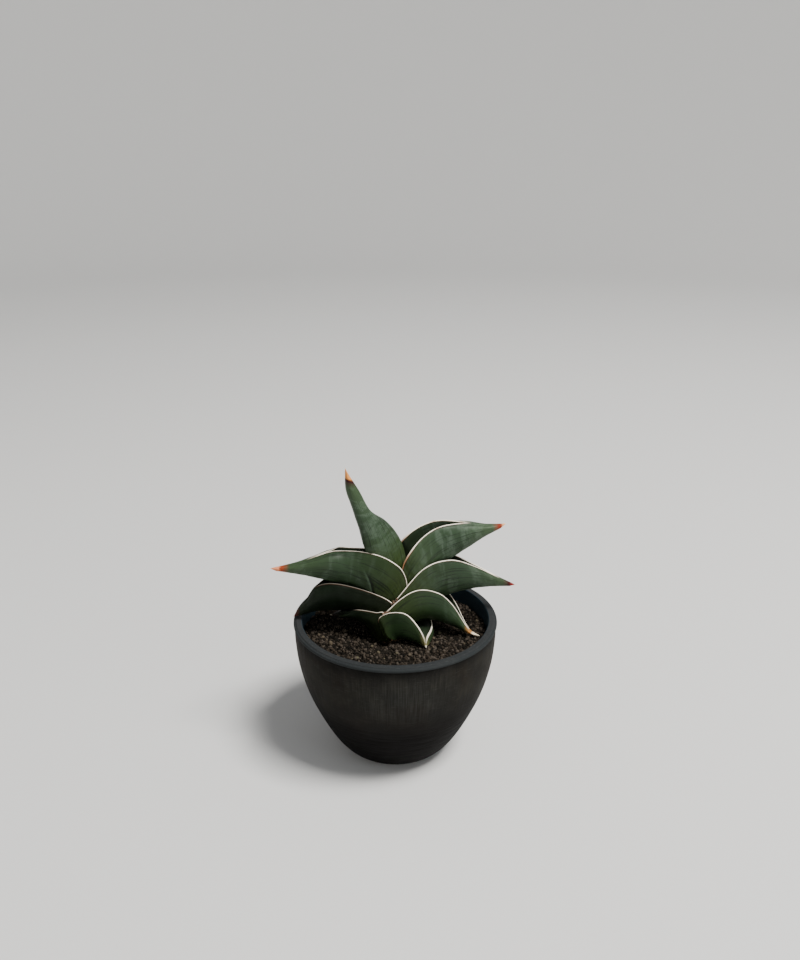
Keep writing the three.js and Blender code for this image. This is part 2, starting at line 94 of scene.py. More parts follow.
# Each leaf starts at its foot (x, y) and runs out along its azimuth, which may turn over
# its length. Margin_run is how much of the leaf has a white margin, and fullness how square
# its belly is. A crease is a fold pressed into the near side: two ends, as (mm from the tip,
# part of the way from keel to margin), and how far the line between them bows. The rest is
# taken at seven stations, foot to tip. Crest is the level of the channel's margins and keel
# the leaf's back, both as reach and height. Mouth is the channel's width and channel its
# depth, as parts of the leaf's own. Roll tips the section, in degrees, and droop lowers the
# far margin.
STATION_COLUMNS = ("crest", "keel", "half_width", "mouth", "channel", "roll", "droop")
LEAVES = {
    "leaf_right_1": {
        "azimuth": -8,
        "turn": -70,
        "foot": (-7, 0),
        "fullness": 3,
        "margin_run": 1.1,
        "stations": [
            ((8, 79), (12, 79), 16.6, 1, 0.88, 0, -9.4),
            ((6, 92.6), (14, 79.3), 19.2, 1, 0.86, 0, -0.7),
            ((11.2, 97.1), (17, 79.2), 19.8, 1, 0.8, 0, 8.3),
            ((19.8, 99.2), (20, 78.8), 15.6, 1, 0.7, 0, 15.6),
            ((25.4, 96.9), (27, 78.6), 9.8, 0.9, 0.6, 0, 15),
            ((31, 89.6), (32, 78.3), 4.6, 0.8, 0.35, 0, 8),
            ((36.4, 78.8), (36, 78.2), 0.5, 0.4, 0.1, 0, 0),
        ],
    },
    "leaf_left_1": {
        "azimuth": 188,
        "foot": (-5, 0),
        "margin_run": 0.5,
        "stations": [
            ((-1, 80), (12, 80), 18.6, 1, 0.88, 0, 0),
            ((3, 96.3), (13, 82), 17.8, 1, 0.86, 1, 0),
            ((8.6, 95.9), (15, 84), 14.6, 1, 0.8, 3, 0),
            ((18, 96.1), (18, 86), 11, 0.95, 0.6, 5, 0),
            ((24.1, 93.2), (23, 88), 7.6, 0.7, 0.4, 7, 0),
            ((28, 91.2), (29, 88.8), 4.1, 0.3, 0.1, 5, 0),
            ((34, 90), (33.8, 89.4), 0.4, 0.2, 0.02, 0, 0),
        ],
    },
    "leaf_right_2": {
        "azimuth": -4,
        "turn": -12,
        "foot": (-4, 0),
        "margin_run": 1.0,
        "stations": [
            ((-5, 82), (13, 81), 16.6, 1, 0.88, 16, 0),
            ((1.9, 99.6), (15, 84), 17.2, 1, 0.86, 0, 0),
            ((16.4, 108.2), (21, 86), 14.9, 0.97, 0.8, 6, 0),
            ((29.3, 104.9), (29, 85.5), 10.9, 0.9, 0.65, 13, 0),
            ((38.1, 96.6), (39, 82.5), 6.3, 0.8, 0.45, 16, 0),
            ((47.8, 82.5), (47, 79.5), 2.6, 0.4, 0.1, 11, 0),
            ((55, 78.5), (54.6, 78), 0.4, 0.2, 0.02, 0, 0),
        ],
    },
    "leaf_left_2": {
        "azimuth": 184,
        "foot": (-1, 0),
        "margin_run": 0.62,
        "stations": [
            ((-6, 84), (10, 83), 15.5, 1, 0.88, 11, 0),
            ((1.6, 100), (12, 87), 15.9, 1, 0.86, 6, 0),
            ((13.7, 107.2), (19, 91), 12.8, 0.95, 0.8, 4, 0),
            ((33.3, 111.7), (30, 92.3), 9.9, 0.8, 0.6, 4, 0),
            ((45.2, 108.9), (44, 92), 6.4, 0.2, 0.02, -4, 0),
            ((52, 99.3), (52, 90), 3.3, 0.2, 0.02, -4, 0),
            ((60, 89), (59.6, 88.2), 0.4, 0.2, 0.02, 0, 0),
        ],
    },
    "leaf_right_3": {
        "azimuth": 6,
        "foot": (0, 0),
        "margin_run": 0.78,
        "stations": [
            ((-4, 86), (10, 85), 12.9, 1, 0.88, 28, 0),
            ((-0.6, 103.8), (14, 90), 14.3, 1, 0.86, 2, 0),
            ((14.9, 120.8), (21, 95.5), 12, 0.95, 0.8, 2, 0),
            ((30.5, 123.7), (33, 100), 8.2, 0.85, 0.6, 4, 0),
            ((47.3, 116.6), (52, 103), 4.9, 0.45, 0.2, 10, -1.1),
            ((61.7, 109), (62, 103.2), 2.5, 0.3, 0.05, 7, -0.7),
            ((72.5, 103.5), (72, 102.8), 0.4, 0.2, 0.02, 0, 0),
        ],
    },
    "leaf_left_3": {
        "azimuth": 184,
        "foot": (2, 0),
        "margin_run": 0.71,
        "crease": ((57.6, 0.6), (67.5, 0.12), 0.8),
        "stations": [
            ((-5, 90), (8, 87), 10.2, 1, 0.88, 0, 0),
            ((-3.3, 116.1), (11, 93), 12.3, 1, 0.86, 2, 0),
            ((6, 128.2), (17, 99.5), 13.4, 0.95, 0.8, 2, 5),
            ((29.1, 129), (28, 106.5), 10.6, 0.8, 0.6, 19, -0.6),
            ((39.9, 129.7), (45, 112.7), 6.7, 0.2, 0.02, 5, -1.4),
            ((59.1, 123.9), (61, 116.9), 3.4, 0.2, 0.02, 0, 0),
            ((75, 120.5), (74.5, 119.3), 0.4, 0.2, 0.02, 0, 0),
        ],
    },
    "leaf_right_4": {
        "azimuth": 9,
        "foot": (3, 0),
        "margin_run": 0.62,
        "stations": [
            ((-3, 94), (7, 93), 8.4, 1, 0.88, -13, 0),
            ((-1.5, 116.9), (9, 101), 9.7, 1, 0.86, -1, 0),
            ((3.1, 133.9), (15, 110), 9.5, 0.95, 0.8, -6, 0),
            ((20.4, 143), (25, 119), 6.9, 0.8, 0.6, 5, -1.6),
            ((38.6, 144.5), (41, 129.3), 5.4, 0.2, 0.02, 1, -1.6),
            ((51.3, 142.6), (52, 136), 3.2, 0.2, 0.02, 0, -0.4),
            ((63, 142.4), (62.8, 141.1), 0.4, 0.2, 0.02, 0, 0),
        ],
    },
    "leaf_centre": {
        "azimuth": 195,
        "foot": (3, -2),
        "margin_run": 0.0,
        "stations": [
            ((-2.1, 100), (4.5, 98.1), 5.5, 0.9, 0.6, 0, 0),
            ((-2.2, 117.5), (9.8, 112.7), 6.8, 0.9, 0.6, 15, 0),
            ((-1.9, 134.2), (17.6, 126.7), 8, 0.85, 0.6, 35, 0),
            ((4.2, 146.6), (21.3, 141.9), 6.8, 0.75, 0.6, 48, 0),
            ((14.6, 155.6), (25.6, 156.8), 4.9, 0.2, 0.02, 50, 0),
            ((22.6, 169.1), (29.6, 169.8), 3.9, 0.2, 0.02, 50, 0),
            ((30, 181), (31.6, 184.6), 0.8, 0.2, 0.02, 50, 0),
        ],
    },
}

# Finish of each leaf, by the sockets of its skin: length and colour of the dry spine, colour
# of the band below it, how bright the white margin is (below 1, painted shade dims it towards
# the tip) and how far up from the foot it is stained brown, how strong the grey bloom is, the
# tone of the whole (the old low leaves are the darkest, by their older green and by painted
# shade where the leaves above shade them) and how wide the margin's colour is, as a part of
# the usual width
FINISH_SOCKETS = {
    "Spine length": VALUE,
    "Spine": COLOUR,
    "Band": COLOUR,
    "Margin tone": VALUE,
    "Margin stain": VALUE,
    "Bloom amount": VALUE,
    "Tone": VALUE,
    "Margin width": VALUE,
}
LEAF_FINISH = {
    "leaf_right_1": (1.4, "E8DFC0", "6E6840", 0.95, 0.25, 0.1, 0.56, 0.72),
    # This low leaf lies in the shade of those above: its dry brown spine and band are darkened as painted
    # shade
    "leaf_left_1": (3.0, "2A1A12", "1A120C", 0.3, 0.2, 0.1, 0.21, 0.7),
    "leaf_right_2": (7.0, "E8D8BC", "A0703C", 1.0, 0.17, 0.28, 0.66, 0.92),
    "leaf_left_2": (2.6, "B8604E", "3E1610", 0.12, 0.14, 0.3, 0.145, 0.75),
    "leaf_right_3": (5.2, "7E1A14", "340E0C", 1.0, 0.15, 0.6, 0.69, 1.0),
    "leaf_left_3": (7.5, "D8865E", "8C3A1C", 1.0, 0.13, 0.55, 0.78, 0.92),
    "leaf_right_4": (4.8, "E6A878", "7C2A12", 1.0, 0.35, 0.8, 0.9, 1.0),
    "leaf_centre": (8.2, "D08A48", "2E080A", 1.0, 0.2, 0.75, 0.86, 1.0),
}

# The skin's colours that all leaves share, as in the leaves' settings
SHARED_COLOURS = ("Foot", "Blade", "Bloom", "Fresh", "Line", "Margin")


# Curves


def spline(values, t):
    """Point at t (0 to 1) on the smooth curve through evenly spaced values."""
    last = len(values) - 1
    i = min(int(t * last), last - 1)
    u = t * last - i
    before = values[max(i - 1, 0)]
    after = values[min(i + 2, last)]
    start = (values[i + 1] - before) * 0.5
    end = (after - values[i]) * 0.5
    step = values[i] - values[i + 1]
    cubic = 2 * step + start + end
    square = -3 * step - 2 * start - end
    return cubic * u**3 + square * u**2 + start * u + values[i]


def spline_of_pairs(pairs, t):
    """The same for pairs such as reach and height."""
    return spline([Vector(pair) for pair in pairs], t)


def fade(low, high, value):
    """0 below low, 1 above high, smooth between."""
    part = min(max((value - low) / (high - low), 0.0), 1.0)
    return part * part * (3 - 2 * part)


def from_hex(code):
    """Linear RGBA of a screen colour written as six hex digits."""
    channels = [int(code[i : i + 2], 16) / 255 for i in (0, 2, 4)]
    linear = [c / 12.92 if c <= 0.04045 else ((c + 0.055) / 1.055) ** 2.4 for c in channels]
    return (*linear, 1.0)


# Mesh helpers


def in_scene(name, data):
    """A new object in the scene, made of a mesh, a lamp or a camera."""
    made = bpy.data.objects.new(name, data)
    bpy.context.scene.collection.objects.link(made)
    return made


def new_piece(name, material, verts, faces):
    """A piece of the object from points in millimetres, riding on the pot's own body."""
    mesh = bpy.data.meshes.new(name)
    mesh.from_pydata([Vector(v) * MM for v in verts], [], faces)
    mesh.validate()
    mesh.shade_smooth()
    mesh.materials.append(material)
    piece = in_scene(name, mesh)
    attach(piece, "root")
    return piece


def store(mesh, name, kind, values):
    """Keeps one value for each vertex under a name that the materials read."""
    attribute = mesh.attributes.new(name, kind, "POINT")
    if kind == "FLOAT":
        attribute.data.foreach_set("value", values)
    else:
        attribute.data.foreach_set("vector", [c for v in values for c in v])


def skin(ring_count, point_count, flip=False):
    """Quads between neighbouring closed rings of points of equal number."""
    faces = []
    for i in range(ring_count - 1):
        for j in range(point_count):
            a = i * point_count + j
            b = i * point_count + (j + 1) % point_count
            quad = (a, b, b + point_count, a + point_count)
            faces.append(quad[::-1] if flip else quad)
    return faces


def fan(centre, first, count, flip=False):
    """Triangles between a centre point and the ring of points that starts at first."""
    faces = []
    for j in range(count):
        a, b = first + j, first + (j + 1) % count
        faces.append((centre, b, a) if flip else (centre, a, b))
    return faces


def circle(radius, z, count):
    """Points evenly spaced round the Z axis."""
    angles = [2 * math.pi * j / count for j in range(count)]
    return [(radius * math.cos(angle), radius * math.sin(angle), z) for angle in angles]


def noise_shift(chance):
    """A place of its own in the noise that dents a piece."""
    return Vector([chance.uniform(0, 50) for _ in range(3)])


# Node helpers


def set_inputs(node, inputs):
    """Sets inputs of a node to values or hex colours, or links them to sockets."""
    for key, value in inputs.items():
        if isinstance(value, bpy.types.NodeSocket):
            node.id_data.links.new(value, node.inputs[key])
        else:
            node.inputs[key].default_value = from_hex(value) if isinstance(value, str) else value


def add_node(tree, kind, inputs=None, **settings):
    """A node with its settings and inputs."""
    made = tree.nodes.new(kind)
    for key, value in settings.items():
        setattr(made, key, value)
    set_inputs(made, inputs or {})
    return made


def node_on(kind, inputs, **settings):
    """A node in the tree of the sockets that feed it."""
    tree = next(v.id_data for v in inputs.values() if isinstance(v, bpy.types.NodeSocket))
    return add_node(tree, kind, inputs, **settings)


def math_node(operation, a, b=0.0, clamp=False):
    """One sum on values or sockets."""
    return node_on("ShaderNodeMath", {0: a, 1: b}, operation=operation, use_clamp=clamp).outputs[0]


def times(a, b, clamp=False):
    """A product, held between 0 and 1 if clamped."""
    return math_node("MULTIPLY", a, b, clamp)


def plus(a, b, clamp=False):
    """A sum, held between 0 and 1 if clamped."""
    return math_node("ADD", a, b, clamp)


def minus(a, b):
    """A difference."""
    return math_node("SUBTRACT", a, b)


def remap(value, low, high, out_low=0.0, out_high=1.0):
    """A value mapped smoothly from one range to another, and held at its ends."""
    inputs = {"Value": value, 1: low, 2: high, 3: out_low, 4: out_high}
    return node_on("ShaderNodeMapRange", inputs, interpolation_type="SMOOTHSTEP").outputs["Result"]


def mix_colour(factor, a, b):
    """Two colours mixed by a factor."""
    return node_on("ShaderNodeMix", {0: factor, 6: a, 7: b}, data_type="RGBA").outputs[2]


def colour_ramp(value, stops):
    """A colour read off a ramp; its stops are pairs of place and hex colour."""
    made = node_on("ShaderNodeValToRGB", {0: value})
    elements = made.color_ramp.elements
    for _ in stops[2:]:
        elements.new(0.5)
    for element, (place, code) in zip(elements, stops):
        element.position = place
        element.color = from_hex(code)
    return made.outputs[0]


def noise_at(vector, scale, detail=2.0, rough=0.5):
    """Noise between 0 and 1 at a point."""
    inputs = {"Vector": vector, "Scale": scale, "Detail": detail, "Roughness": rough}
    return node_on("ShaderNodeTexNoise", inputs).outputs["Fac"]


def point(x, y, z=0.0):
    """A vector from three values or sockets."""
    return node_on("ShaderNodeCombineXYZ", {0: x, 1: y, 2: z}).outputs[0]


def parts(vector):
    """The three parts of a vector."""
    return node_on("ShaderNodeSeparateXYZ", {0: vector}).outputs


def place_mm(tree):
    """The point's place in the part's frame, in millimetres."""
    place = add_node(tree, "ShaderNodeTexCoord").outputs["Object"]
    return node_on("ShaderNodeVectorMath", {0: place, 3: 1 / MM}, operation="SCALE").outputs[0]


def kept(tree, name, output="Vector"):
    """What the mesh keeps under a name."""
    return add_node(tree, "ShaderNodeAttribute", attribute_name=name).outputs[output]


def new_group(name, inputs, outputs):
    """An empty shader node group with its named sockets, and its two ends."""
    tree = bpy.data.node_groups.new(name, "ShaderNodeTree")
    for way, sockets in (("INPUT", inputs), ("OUTPUT", outputs)):
        for label, kind in sockets.items():
            tree.interface.new_socket(label, in_out=way, socket_type=kind)
    return tree, tree.nodes.new("NodeGroupInput").outputs, tree.nodes.new("NodeGroupOutput")


def new_material(name):
    """An empty material with its surface shader."""
    material = bpy.data.materials.new(name)
    material.use_nodes = True
    return material, material.node_tree, material.node_tree.nodes["Principled BSDF"]


def dress(shader, colour, rough, gloss, relief, depth, strength):
    """Gives a shader its colour, roughness, gloss and fine relief, whose depth is in mm."""
    raised = node_on("ShaderNodeBump", {"Height": relief, "Distance": depth * MM, "Strength": strength})
    inputs = {"Base Color": colour, "Roughness": rough, "Specular IOR Level": gloss}
    set_inputs(shader, {**inputs, "Normal": raised.outputs[0]})


def dust_group():
    """Faint pale dust and specks that settle on the pot and the leaves."""
    name = "Settled dust"
    if name in bpy.data.node_groups:
        return bpy.data.node_groups[name]
    inputs = {"Color": COLOUR, "Dust": COLOUR, "Amount": VALUE}
    tree, given, out = new_group(name, inputs, {"Color": COLOUR, "Mask": VALUE})
    place = place_mm(tree)
    cloud = remap(noise_at(place, 0.09, 4, 0.6), 0.42, 0.75)
    speck = remap(noise_at(place, 1.7), 0.68, 0.76)
    mask = times(plus(times(cloud, 0.5), speck), given["Amount"], clamp=True)
    set_inputs(out, {"Color": mix_colour(mask, given["Color"], given["Dust"]), "Mask": mask})
    return tree


# Settings


# What every colour's setting shares
TINT = {"subtype": "COLOR", "size": 4}


class PotSettings(bpy.types.PropertyGroup):
    """Sizes and colours of the pot."""

    height: FloatProperty(
        name="Height", description="Height of the pot's flat rim", default=87 * MM, unit="LENGTH"
    )
    wall: FloatProperty(
        name="Wall", description="Thickness of the pot's wall", default=POT_WALL * MM, unit="LENGTH"
    )
    segments: IntProperty(name="Segments", description="Faces round the pot", default=240, min=24)
    body_colour: FloatVectorProperty(
        name="Body colour", description="Colour of the outer wall", default=from_hex("171614"), **TINT
    )
    rim_colour: FloatVectorProperty(
        name="Rim colour", description="Colour of the rim's flat top", default=from_hex("282A2B"), **TINT
    )
    inside_colour: FloatVectorProperty(
        name="Inside colour", description="Colour of the inner wall", default=from_hex("26333A"), **TINT
    )


class GritSettings(bpy.types.PropertyGroup):
    """Size and spread of the soil's grains."""

    level: FloatProperty(
        name="Level", description="Mean height of the soil's top", default=76.9 * MM, unit="LENGTH"
    )
    spacing: FloatProperty(
        name="Spacing", description="Distance between neighbouring grains", default=1.55 * MM, unit="LENGTH"
    )
    coarse_count: IntProperty(
        name="Coarse grains", description="Number of larger grains on top", default=260, min=0
    )
    seed: IntProperty(name="Seed", description="Start of the random spread", default=7)


class LeafSettings(bpy.types.PropertyGroup):
    """Fineness and colours of the leaves."""

    stations: IntProperty(
        name="Stations", description="Rings of points along each leaf", default=120, min=12
    )
    margin: FloatProperty(
        name="Margin", description="Width of the white margin", default=1.0 * MM, unit="LENGTH"
    )
    foot_colour: FloatVectorProperty(
        name="Foot colour", description="Olive green low on the leaf", default=from_hex("33411A"), **TINT
    )
    blade_colour: FloatVectorProperty(
        name="Blade colour", description="Dark green of the blade", default=from_hex("22361B"), **TINT
    )
    bloom_colour: FloatVectorProperty(
        name="Bloom colour", description="Grey-green of the waxy bloom", default=from_hex("435245"), **TINT
    )
    fresh_colour: FloatVectorProperty(
        name="Tip colour", description="Lighter green towards the tip", default=from_hex("495E3A"), **TINT
    )
    line_colour: FloatVectorProperty(
        name="Line colour", description="Dark lines along the leaf", default=from_hex("10160E"), **TINT
    )
    margin_colour: FloatVectorProperty(
        name="Margin colour", description="Ivory of the horny margin", default=from_hex("FBF3E0"), **TINT
    )


class StageSettings(bpy.types.PropertyGroup):
    """Floor and light round the object."""

    floor_colour: FloatVectorProperty(
        name="Floor colour", description="Colour of the floor", default=(0.64, 0.64, 0.63, 1), **TINT
    )
    key_power: FloatProperty(
        name="Key light", description="Power of the main light", default=125.0, min=0.0, subtype="POWER"
    )
    fill_power: FloatProperty(
        name="Fill light", description="Power of the weaker light", default=3.0, min=0.0, subtype="POWER"
    )


# Pot


def pot_profile(settings):
    """Outline of the pot's wall as (radius, height), from the base's centre round to the floor."""
    height = settings.height / MM
    wall = settings.wall / MM
    outside = [tuple(spline_of_pairs(POT_SIDE, i / SIDE_STEPS)) for i in range(SIDE_STEPS + 1)]
    outside[0] = (25.4, 0)
    outside.insert(1, (25.9, 0.25))
    collar = [(59.75, 84.1)]
    for i in range(COLLAR_STEPS + 1):
        angle = math.radians(-80 + 160 * i / COLLAR_STEPS)
        r, z = COLLAR_RADII[0] * math.cos(angle), COLLAR_RADII[1] * math.sin(angle)
        collar.append((COLLAR_CENTRE[0] + r, COLLAR_CENTRE[1] + z))
    rim = [(59.35, 86.3), (59.2, 86.35), (59.1, 86.75), (58.85, height - 0.05), (58.6, height)]
    rim += [(58, height), (57, height), (56.2, height)]
    for i in range(RIM_STEPS):
        angle = math.radians(90 + 90 * (i + 1) / RIM_STEPS)
        rim.append((56.1 + RIM_EDGE * math.cos(angle), height - RIM_EDGE + RIM_EDGE * math.sin(angle)))
    inner = [(r - wall, z) for r, z in outside[2:] if INNER_WALL[0] < z < INNER_WALL[1]]
    inside = [(55.4, 84.5), (55.35, 82.5)] + inner[::-1]
    corner = inside[-1][0]
    return [(0, 0), (10, 0), (20, 0)] + outside + collar + rim + inside + [(corner - 3, 5), (0, 5)]


def pot_faces_and_points(profile, segments):
    """Turns the profile round the Z axis; its two ends lie on the axis."""
    verts = [(0, 0, profile[0][1])]
    for r, z in profile[1:-1]:
        verts += circle(r, z, segments)
    verts.append((0, 0, profile[-1][1]))
    faces = [tuple(v + 1 for v in quad) for quad in skin(len(profile) - 2, segments)]
    top = len(verts) - 1
    return verts, faces + fan(0, 1, segments, flip=True) + fan(top, top - segments, segments)


def cut_drain_holes(piece):
    """Small round holes through the base, with the points that the cut doubles merged."""
    mesh = bpy.data.meshes.new("drain_cutters")
    cutter = bmesh.new()
    for centre in circle(DRAIN_REACH, 0, DRAIN_HOLES):
        bmesh.ops.create_cone(
            cutter,
            cap_ends=True,
            segments=32,
            radius1=DRAIN_RADIUS * MM,
            radius2=DRAIN_RADIUS * MM,
            depth=20 * MM,
            matrix=Matrix.Translation(Vector(centre) * MM),
        )
    cutter.to_mesh(mesh)
    cutter.free()
    holes = in_scene("drain_cutters", mesh)
    cut = piece.modifiers.new("Drain holes", "BOOLEAN")
    cut.operation = "DIFFERENCE"
    cut.solver = "EXACT"
    cut.object = holes
    graph = bpy.context.evaluated_depsgraph_get()
    finished = bpy.data.meshes.new_from_object(piece.evaluated_get(graph))
    whole = bmesh.new()
    whole.from_mesh(finished)
    bmesh.ops.remove_doubles(whole, verts=whole.verts, dist=MERGE_DISTANCE * MM)
    whole.to_mesh(finished)
    whole.free()
    piece.modifiers.clear()
    piece.data = finished
    bpy.data.objects.remove(holes)


def pot_material(settings):
    """Matt charcoal plastic: drawn streaks above, fine rings below, a greyer rim."""
    material, tree, shader = new_material("Matt charcoal pot")
    place = place_mm(tree)
    x, y, z = parts(place)
    angle = math_node("ARCTAN2", y, x)
    radius = math_node("SQRT", plus(math_node("POWER", x, 2), math_node("POWER", y, 2)))
    around = times(angle, 90)

    # Marks from the making, stronger where the wall is worn
    streaks = noise_at(point(around, times(z, 0.05)), 0.9, 4, 0.6)
    rings = noise_at(point(times(around, 0.02), z), 1.1, 4, 0.65)
    grain = node_on("ShaderNodeMix", {0: remap(z, 34, 60), 2: rings, 3: streaks}, data_type="FLOAT")
    marks = remap(grain.outputs[0], 0.3, 0.7)
    worn = remap(noise_at(place, 0.07, 3, 0.6), 0.42, 0.62, 0.3, 0.85)
    body = mix_colour(times(marks, worn), settings.body_colour, "2D2B25")

    # Darker and rusty clouds
    clouds = remap(noise_at(place, 0.045, 3, 0.55), 0.35, 0.7)
    body = mix_colour(times(clouds, 0.45), body, "12110F")
    rusty = remap(noise_at(place, 0.03), 0.45, 0.65)
    body = mix_colour(times(rusty, 0.45), body, "1B130D")

    # A painted sheen in front, level scratches beside it, and painted shade on the low wall
    aside = math_node("ABSOLUTE", minus(x, 4))
    above = math_node("ABSOLUTE", minus(z, 60))
    # Painted sheen: a soft reflection of light on the front of the wall, painted into its colour
    painted_sheen = times(remap(aside, 40, 4), remap(above, 30, 4))
    painted_sheen = times(painted_sheen, remap(y, 0, -30))
    painted_sheen = times(painted_sheen, remap(marks, 0.1, 0.9, 0.15, 0.5))
    body = mix_colour(painted_sheen, body, "303230")
    strokes = noise_at(point(times(angle, 9), times(z, 1.4)), 1, 3, 0.65)
    strokes = times(remap(strokes, 0.56, 0.7), remap(above, 34, 20))
    body = mix_colour(times(strokes, 0.4), body, "323431")
    # Painted shade: the wall darkens to near black towards the bottom, where it faces down
    body = mix_colour(times(remap(z, 63, 30), 0.97), body, "040303")

    # Shade under the collar, then the collar, the scuffed rim and the inner wall
    body = mix_colour(times(remap(z, 77, 84), 0.7), body, "070707")
    collar = times(remap(z, 84.3, 84.8), remap(radius, 58, 58.6))
    body = mix_colour(collar, body, "26292A")
    scuffs = noise_at(point(times(angle, 14), radius), 1.3, 4, 0.7)
    rim = mix_colour(times(remap(scuffs, 0.5, 0.75), 0.4), settings.rim_colour, "45484A")
    on_rim = times(remap(z, 86.3, 86.8), remap(radius, 55.6, 56))
    body = mix_colour(on_rim, body, rim)
    inside = times(remap(radius, 56, 55.7), remap(z, 70, 74))
    body = mix_colour(inside, body, settings.inside_colour)

    dust = {"Color": body, "Dust": "4C4A46", "Amount": remap(z, 30, 62, 0.03, 0.16)}
    dusty = add_node(tree, "ShaderNodeGroup", dust, node_tree=dust_group())
    rough = plus(remap(marks, 0, 1, 0.6, 0.74), times(dusty.outputs["Mask"], 0.3))
    relief = plus(times(marks, 0.35), times(noise_at(place, 2.2, 3, 0.6), 0.45))
    dress(shader, dusty.outputs["Color"], rough, 0.05, relief, 0.12, 0.7)
    return material


class PLANT_OT_pot(bpy.types.Operator):
    """Make the round bowl pot with its collar, flat rim and drain holes"""

    bl_idname = "plant.pot"
    bl_label = "Pot"

    def execute(self, context):
        settings = context.scene.plant_pot
        verts, faces = pot_faces_and_points(pot_profile(settings), settings.segments)
        piece = new_piece("pot_bowl", pot_material(settings), verts, faces)
        cut_drain_holes(piece)
        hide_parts("pot")
        return {"FINISHED"}


# Rootstock


def rootstock_material():
    """Dry corky brown, streaked along its height."""
    material, tree, shader = new_material("Corky rootstock")
    place = place_mm(tree)
    x, y, z = parts(place)
    streaks = noise_at(point(x, y, times(z, 0.25)), 0.8, 4, 0.65)
    flecks = noise_at(place, 1.9, 3, 0.6)
    colour = mix_colour(remap(streaks, 0.3, 0.7), "2A231C", "5C4A36")
    colour = mix_colour(remap(flecks, 0.58, 0.7), colour, "7A6548")
    rough = remap(streaks, 0, 1, 0.75, 0.95)
    dress(shader, colour, rough, 0.15, plus(streaks, flecks), 0.5, 0.8)
    return material


class PLANT_OT_rootstock(bpy.types.Operator):
    """Give the short stem and its roots their corky bark"""

    bl_idname = "plant.rootstock"
    bl_label = "Rootstock"

    def execute(self, context):
        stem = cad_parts["rootstock"]
        stem.data.materials.clear()
        stem.data.materials.append(rootstock_material())
        return {"FINISHED"}


# Soil


# Colours of the grains, from the many dark ones to the few tan and olive ones
GRAIN_TONES = [
    (0.0, "12110E"),
    (0.35, "25211C"),
    (0.7, "3A332B"),
    (0.86, "48413A"),
    (0.94, "564D3F"),
    (1.0, "545040"),
]


def soil_material(name, use_tone):
    """Fine dark grit; each grain's own tone where the piece carries one."""
    material, tree, shader = new_material(name)
    place = place_mm(tree)
    tone = kept(tree, "grain_tone", "Fac") if use_tone else times(noise_at(place, 0.7), 0.4)
    mottle = noise_at(place, 1.4, 3, 0.6)
    colour = mix_colour(remap(mottle, 0.45, 0.75, 0, 0.6), colour_ramp(tone, GRAIN_TONES), "0C0A08")
    rough = remap(mottle, 0, 1, 0.82, 1)
    dress(shader, colour, rough, 0.05, noise_at(place, 3.2, 3, 0.65), 0.25, 0.9)
    return material


def inner_radius(z):
    """Radius of the pot's inner wall at a height, in millimetres."""
    low, high = 0.0, 1.0
    for _ in range(24):
        middle = (low + high) / 2
        if spline_of_pairs(POT_SIDE, middle)[1] < z:
            low = middle
        else:
            high = middle
    return spline_of_pairs(POT_SIDE, low)[0] - POT_WALL


BED_SEGMENTS = 144
BED_STEP = 1.3
BED_FLOOR = 5.4


def soil_rings(level):
    """Rings of points of the bed under the grains: down the side, then in over the top."""
    rings = []
    for z in (BED_FLOOR, 12, 20, 30, 42, 56, 68, level - 1.1):
        radius = inner_radius(max(z, 8)) - (4.2 if z < 8 else 1.0)
        rings.append(circle(radius, z, BED_SEGMENTS))
    radius = inner_radius(level) - 1.6
    while radius > 1:
        ring = []
        for x, y, _ in circle(radius, 0, BED_SEGMENTS):
            swell = noise.noise(Vector((x, y, 3)) * 0.08) * 0.5
            lift = swell + noise.noise(Vector((x, y, 0)) * 0.7) * 0.35
            ring.append((x, y, level - 0.55 + lift))
        rings.append(ring)
        radius -= BED_STEP
    return rings


class PLANT_OT_soil_bed(bpy.types.Operator):
    """Make the bed of soil that the loose grains lie on"""

    bl_idname = "plant.soil_bed"
    bl_label = "Soil bed"

    def execute(self, context):
        rings = soil_rings(context.scene.plant_grit.level / MM)
        verts = [v for ring in rings for v in ring] + [(0, 0, BED_FLOOR), (0, 0, rings[-1][0][2])]
        bottom, top = len(verts) - 2, len(verts) - 1
        faces = skin(len(rings), BED_SEGMENTS) + fan(bottom, 0, BED_SEGMENTS, flip=True)
        faces += fan(top, bottom - BED_SEGMENTS, BED_SEGMENTS)
        piece = new_piece("soil_bed", soil_material("Soil bed", False), verts, faces)
        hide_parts("soil")
        return {"FINISHED"}


# The few pebbles that stand out: place, radius and tone, in mm
PEBBLES = [
    (-37.8, -16.8, 1.75, 0.93),
    (-30.2, -2.4, 1.6, 0.9),
    (-29.4, -6.5, 1.2, 0.84),
    (8.3, -29.6, 1.45, 0.9),
    (0.8, -25.6, 1.25, 0.86),
    (-22.5, -33.0, 1.2, 0.86),
    (34.0, 21.0, 1.6, 0.92),
    (-12.0, 38.0, 1.5, 0.94),
]

# The other grains: radii of the fine ones and the share of pale ones among them, how far
# each strays from its place in a grid whose rows lie ROW_STEP of the spacing apart, and how
# far out the coarse ones reach
FINE_RADII = (0.58, 0.68, 0.76, 0.85, 1.0)
PALE_SHARE = 0.012
JITTER = 0.42
ROW_STEP = 0.866
COARSE_REACH = 53
FULL_TURN = 6.28


def grain_shape(level):
    """Points and faces of a round starting grain."""
    ball = bmesh.new()
    bmesh.ops.create_icosphere(ball, subdivisions=level, radius=1.0)
    ball.verts.index_update()
    points = [v.co.copy() for v in ball.verts]
    faces = [tuple(v.index for v in f.verts) for f in ball.faces]
    ball.free()
    return points, faces


